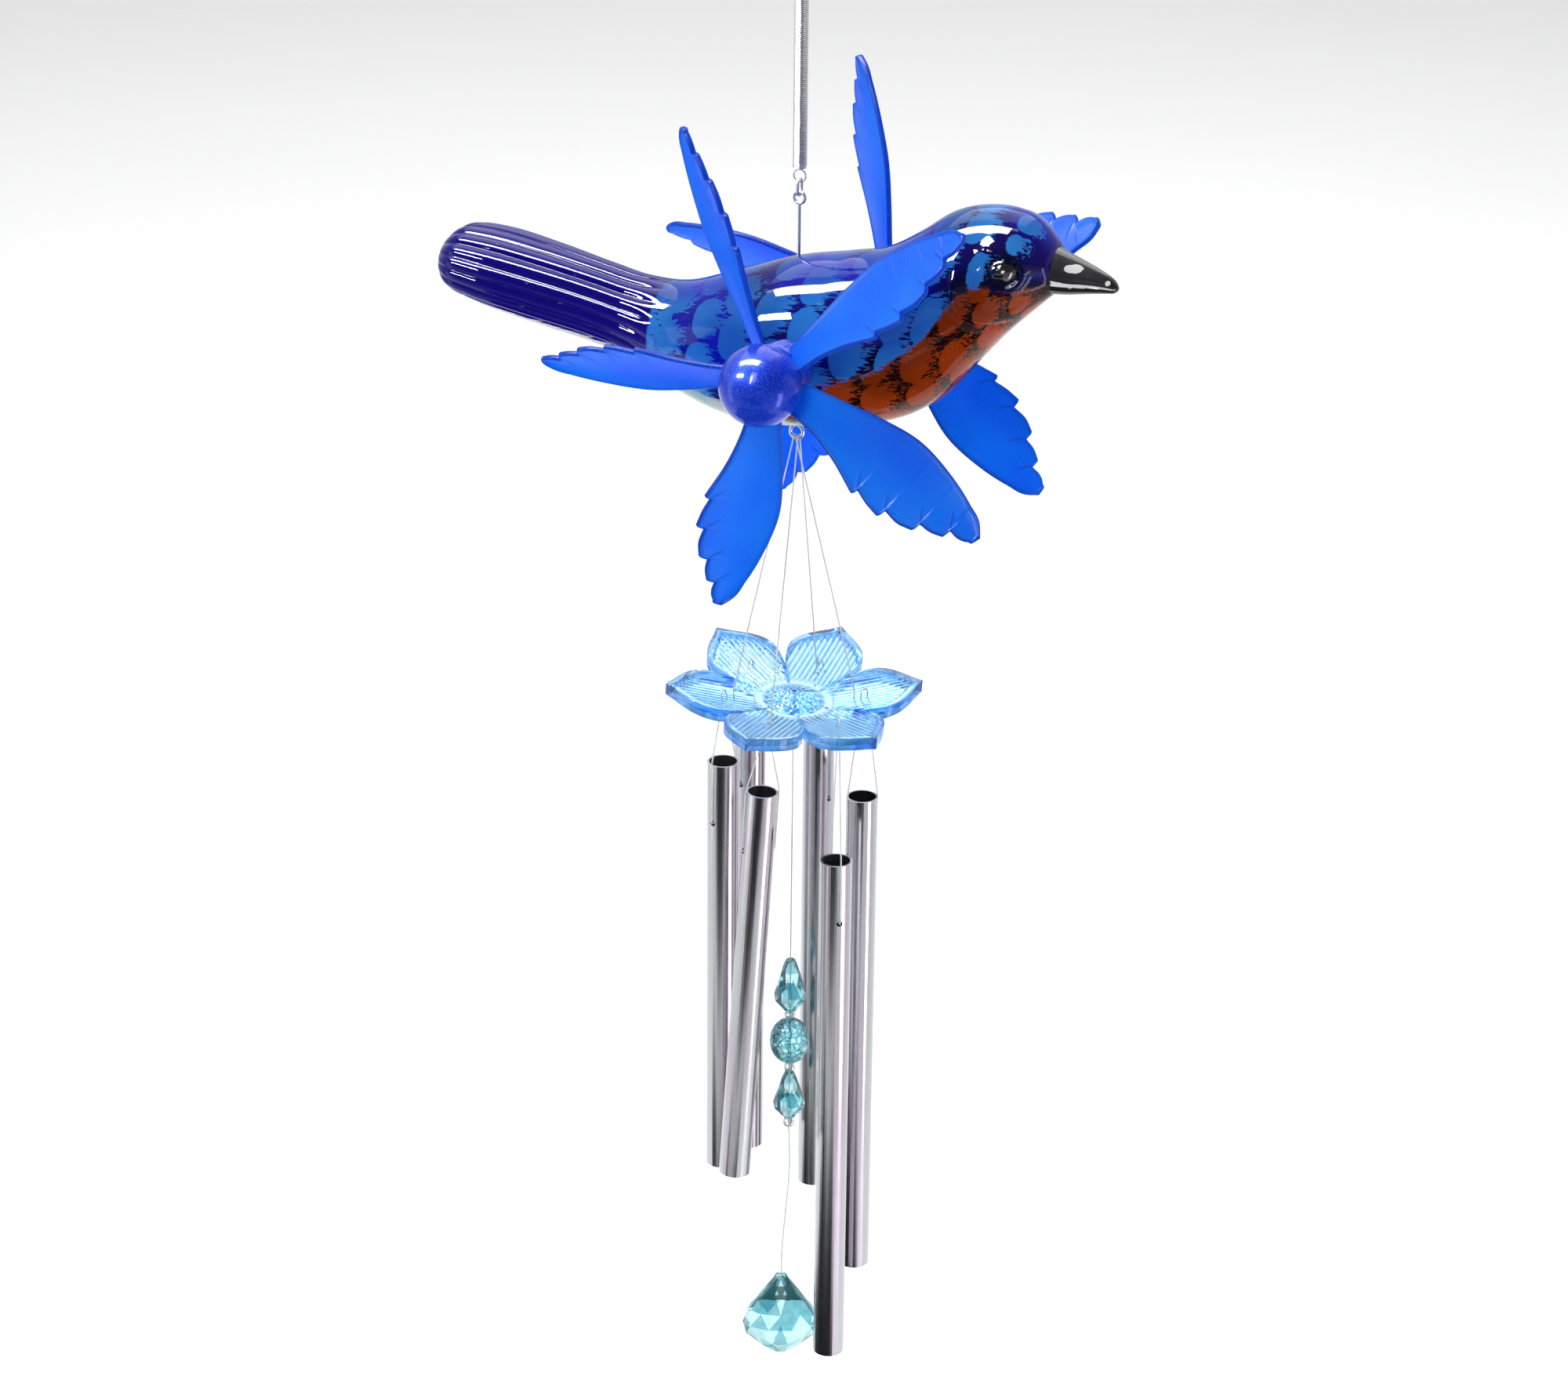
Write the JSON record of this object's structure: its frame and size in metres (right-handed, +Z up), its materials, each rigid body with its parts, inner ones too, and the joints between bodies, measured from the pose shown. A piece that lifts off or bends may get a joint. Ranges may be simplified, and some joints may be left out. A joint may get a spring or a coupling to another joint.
{
  "type": "whirligig",
  "caption": "Hanging bird whirligig: glossy painted bird on a coil spring, feather-blade propellers on its flanks, wind chime of metal tubes under a clear flower plate.",
  "frame": {"origin": "hang point, the top of the inside of the S-hook's upper bow", "axes": "+Z up, +X towards the beak, +Y to the bird's left along the propeller axle"},
  "size_m": [0.2781, 0.1584, 0.624],
  "materials": {
    "steel": "bright plated wire",
    "bird_paint": "hand-painted gloss plastic with brushed feather patches",
    "bearing_plastic": "moulded acetal",
    "hub_paint": "pearl gloss with fine glitter",
    "blade_plastic": "slightly translucent plastic with fine glitter",
    "flower_acrylic": "clear moulded acrylic with ribs",
    "nylon": "clear monofilament",
    "tube_metal": "drawn, bright anodised",
    "aqua_acrylic": "clear faceted acrylic",
    "clear_acrylic": "clear acrylic"
  },
  "bodies": {
    "hanger": {"hanging_hook": "steel", "spring_top_loop": "steel"},
    "spring": {"spring_coil": "steel"},
    "spring_end": {"spring_end_loop": "steel"},
    "link": {"link": "steel"},
    "bird": {"hanger_wire": "steel", "body_shell_right": "bird_paint", "body_shell_left": "bird_paint", "axle": "steel", "axle_bushing_right": "bearing_plastic", "axle_bushing_left": "bearing_plastic", "thrust_washer_right": "bearing_plastic", "thrust_washer_left": "bearing_plastic", "push_nut_right": "steel", "push_nut_left": "steel"},
    "propeller_right": {"hub_cap_right": "hub_paint", "hub_cup_right": "hub_paint", "hub_bushing_right": "bearing_plastic", "blade_right_1": "blade_plastic", "blade_right_2": "blade_plastic", "blade_right_3": "blade_plastic", "blade_right_4": "blade_plastic", "blade_right_5": "blade_plastic"},
    "propeller_left": {"hub_cap_left": "hub_paint", "hub_cup_left": "hub_paint", "hub_bushing_left": "bearing_plastic", "blade_left_1": "blade_plastic", "blade_left_2": "blade_plastic", "blade_left_3": "blade_plastic", "blade_left_4": "blade_plastic", "blade_left_5": "blade_plastic"},
    "chime": {"flower": "flower_acrylic", "support_cord_a": "nylon", "support_cord_b": "nylon"},
    "chime_tube_1": {"tube_1": "tube_metal", "tube_cord_1": "nylon"},
    "chime_tube_2": {"tube_2": "tube_metal", "tube_cord_2": "nylon"},
    "chime_tube_3": {"tube_3": "tube_metal", "tube_cord_3": "nylon"},
    "chime_tube_4": {"tube_4": "tube_metal", "tube_cord_4": "nylon"},
    "chime_tube_5": {"tube_5": "tube_metal", "tube_cord_5": "nylon"},
    "chime_tube_6": {"tube_6": "tube_metal", "tube_cord_6": "nylon"},
    "striker": {"striker_cord": "nylon", "bead_top": "aqua_acrylic", "spacer_bead_1": "clear_acrylic", "bead_middle": "aqua_acrylic", "spacer_bead_2": "clear_acrylic", "bead_bottom": "aqua_acrylic", "spacer_bead_3": "clear_acrylic"},
    "catcher": {"catcher_cord": "nylon", "wind_gem": "aqua_acrylic"}
  },
  "joints": [
    {"name": "spring_twist", "type": "hinge", "parent": "hanger", "child": "spring", "pos_m": [0, 0, -0.026], "axis": [0, 0, 1], "range_deg": [-180, 180], "stiffness_Nm_per_rad": 0.0013},
    {"name": "spring_bounce", "type": "slide", "parent": "spring", "child": "spring_end", "axis": [0, 0, 1], "range_m": [-0.04, 0], "stiffness_N_per_m": 150, "springref_m": 0.035, "deforming": ["spring_coil"]},
    {"name": "side_swing", "type": "hinge", "parent": "spring_end", "child": "link", "pos_m": [0, 0, -0.1125], "axis": [1, 0, 0], "range_deg": [-20, 20]},
    {"name": "nose_rock", "type": "hinge", "parent": "link", "child": "bird", "pos_m": [0, 0, -0.11775], "axis": [0, 1, 0], "range_deg": [-20, 20]},
    {"name": "propeller_right_spin", "type": "hinge", "parent": "bird", "child": "propeller_right", "pos_m": [0.014, 0, -0.17], "axis": [0, 1, 0], "continuous": true},
    {"name": "propeller_left_spin", "type": "hinge", "parent": "bird", "child": "propeller_left", "pos_m": [0.014, 0, -0.17], "axis": [0, 1, 0], "continuous": true},
    {"name": "chime_swing", "type": "hinge", "parent": "bird", "child": "chime", "pos_m": [0, 0, -0.2096], "axis": [0, 1, 0], "range_deg": [-12, 12]},
    {"name": "tube_1_swing", "type": "hinge", "parent": "chime", "child": "chime_tube_1", "pos_m": [-0.02315, -0.01549, -0.317], "axis": [-0.556, 0.8312, 0], "range_deg": [-1, 5]},
    {"name": "tube_2_swing", "type": "hinge", "parent": "chime", "child": "chime_tube_2", "pos_m": [-0.02447, 0.01238, -0.31467], "axis": [0.4516, 0.8922, 0], "range_deg": [-1, 5]},
    {"name": "tube_3_swing", "type": "hinge", "parent": "chime", "child": "chime_tube_3", "pos_m": [0.0016, -0.02809, -0.32051], "axis": [-0.9984, -0.0568, 0], "range_deg": [-1, 4]},
    {"name": "tube_4_swing", "type": "hinge", "parent": "chime", "child": "chime_tube_4", "pos_m": [-0.00103, 0.02765, -0.31586], "axis": [0.9993, 0.037, 0], "range_deg": [-1, 5]},
    {"name": "tube_5_swing", "type": "hinge", "parent": "chime", "child": "chime_tube_5", "pos_m": [0.02504, -0.01283, -0.3217], "axis": [-0.4559, -0.89, 0], "range_deg": [-1, 5]},
    {"name": "tube_6_swing", "type": "hinge", "parent": "chime", "child": "chime_tube_6", "pos_m": [0.02373, 0.01504, -0.31937], "axis": [0.5355, -0.8445, 0], "range_deg": [-1, 5]},
    {"name": "striker_swing", "type": "hinge", "parent": "chime", "child": "striker", "pos_m": [0, 0, -0.321], "axis": [0, 1, 0], "range_deg": [-3, 3]},
    {"name": "catcher_swing", "type": "hinge", "parent": "striker", "child": "catcher", "pos_m": [0, 0, -0.5132], "axis": [-0.8886, 0.4586, 0], "range_deg": [-6, 6]}
  ]
}
